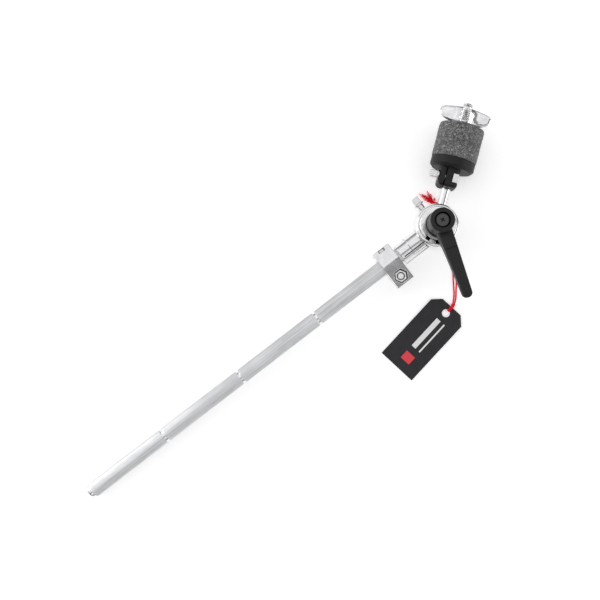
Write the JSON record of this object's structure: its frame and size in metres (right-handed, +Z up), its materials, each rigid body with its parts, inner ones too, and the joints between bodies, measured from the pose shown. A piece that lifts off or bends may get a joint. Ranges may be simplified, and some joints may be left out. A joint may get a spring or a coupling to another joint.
{
  "type": "cymbal boom arm",
  "caption": "Knurled boom arm for a cymbal stand: sliding memory lock, brake tilter with ratchet lever, cymbal seat with felt washers and wing nut, and a hang tag on a cord.",
  "frame": {"origin": "bottom centre of the arm's box, on the surface that the arm lies on; the hang tag and its cord are not counted", "axes": "+X along the boom rod's box from its plain end towards the tilter, +Z up from the surface, +Y completes the set"},
  "size_m": [0.4646, 0.1692, 0.064],
  "materials": {
    "knurled_steel": "fine straight knurl, satin plated, with three polished grooves",
    "dark_steel": "dark oxide",
    "chrome_casting": "chrome plate on a zinc casting",
    "chrome_screw": "chrome plate on steel",
    "chrome_rod": "chrome plate on steel, satin",
    "brake_fibre": "pressed brake fibre",
    "zinc_screw": "grey zinc, turned",
    "black_casting": "black satin coat on a zinc casting",
    "dark_nylon": "charcoal moulded nylon",
    "grey_felt": "pressed grey felt",
    "tag_card": "thin charcoal card, faint grain",
    "red_cord": "waxed red cord"
  },
  "bodies": {
    "boom_arm": {"boom_rod": "knurled_steel", "socket_pin": "dark_steel", "tilter_body": "chrome_casting", "brake_ring": "chrome_screw", "brake_disc": "brake_fibre", "pivot_bolt": "dark_steel", "thrust_washer": "dark_steel", "tag": "tag_card", "tag_cord_right": "red_cord", "tag_cord_left": "red_cord", "cord_hitch": "red_cord", "cord_knot": "red_cord", "cord_tuft": "red_cord"},
    "memory_lock": {"memory_lock_front": "chrome_casting", "memory_lock_back": "chrome_casting", "memory_lock_pin": "dark_steel", "memory_lock_nut": "chrome_screw"},
    "lock_bolt": {"memory_lock_bolt": "chrome_screw"},
    "tilter": {"tilter_rotor": "chrome_casting", "tilter_rod": "chrome_rod"},
    "brake_bolt": {"tilter_key_bolt": "chrome_screw"},
    "seat": {"cymbal_seat": "dark_nylon", "seat_nut": "chrome_screw"},
    "seat_bolt": {"seat_key_bolt": "chrome_screw"},
    "felt_below": {"lower_felt": "grey_felt"},
    "felt_above": {"upper_felt": "grey_felt"},
    "washer": {"nut_washer": "chrome_screw"},
    "wing": {"wing_nut": "chrome_casting"},
    "lever_hub": {"lever_insert": "dark_steel", "lever_screw": "zinc_screw", "lever_spring": "dark_steel"},
    "lever": {"lever_handle": "black_casting"}
  },
  "joints": [
    {"name": "memory_lock_slide", "type": "slide", "parent": "boom_arm", "child": "memory_lock", "axis": [0.9995, 0, 0.0307], "range_m": [-0.29, 0]},
    {"name": "lock_bolt_turn", "type": "hinge", "parent": "memory_lock", "child": "lock_bolt", "pos_m": [0.08968, -0.02281, 0.01625], "axis": [-0.0307, 0, 0.9995], "continuous": true},
    {"name": "tilt", "type": "hinge", "parent": "boom_arm", "child": "tilter", "pos_m": [0.13965, -0.00781, 0.01779], "axis": [-0.0307, 0, 0.9995], "range_deg": [-107, 14.5]},
    {"name": "brake_bolt_turn", "type": "hinge", "parent": "boom_arm", "child": "brake_bolt", "pos_m": [0.13965, 0.01529, 0.01779], "axis": [0, 1, 0], "continuous": true},
    {"name": "lever_turn", "type": "hinge", "parent": "boom_arm", "child": "lever_hub", "pos_m": [0.13888, -0.00781, 0.04278], "axis": [-0.0307, 0, 0.9995], "continuous": true},
    {"name": "lever_lift", "type": "slide", "parent": "lever_hub", "child": "lever", "axis": [-0.0307, 0, 0.9995], "range_m": [0, 0.0032], "stiffness_N_per_m": 1250, "springref_m": -0.004, "deforming": ["lever_spring"]},
    {"name": "seat_slide", "type": "slide", "parent": "tilter", "child": "seat", "axis": [0.793, 0.6088, 0.0244], "range_m": [-0.009, 0]},
    {"name": "seat_bolt_turn", "type": "hinge", "parent": "seat", "child": "seat_bolt", "pos_m": [0.16656, 0.02527, 0.02682], "axis": [-0.6085, 0.7934, -0.0187], "continuous": true},
    {"name": "lower_felt_turn", "type": "hinge", "parent": "seat", "child": "felt_below", "pos_m": [0.1912, 0.03176, 0.01937], "axis": [0.793, 0.6088, 0.0244], "continuous": true},
    {"name": "upper_felt_turn", "type": "hinge", "parent": "seat", "child": "felt_above", "pos_m": [0.20309, 0.04089, 0.01974], "axis": [0.793, 0.6088, 0.0244], "continuous": true},
    {"name": "washer_rise", "type": "slide", "parent": "tilter", "child": "washer", "axis": [0.793, 0.6088, 0.0244], "range_m": [0, 0.0121]},
    {"name": "wing_nut_turn", "type": "hinge", "parent": "washer", "child": "wing", "pos_m": [0.21736, 0.05185, 0.02018], "axis": [0.793, 0.6088, 0.0244], "range_deg": [0, 3456]}
  ],
  "couplings": [
    {"joint": "washer_rise", "follows": "wing_nut_turn", "m_per_rad": 0.00019894}
  ]
}
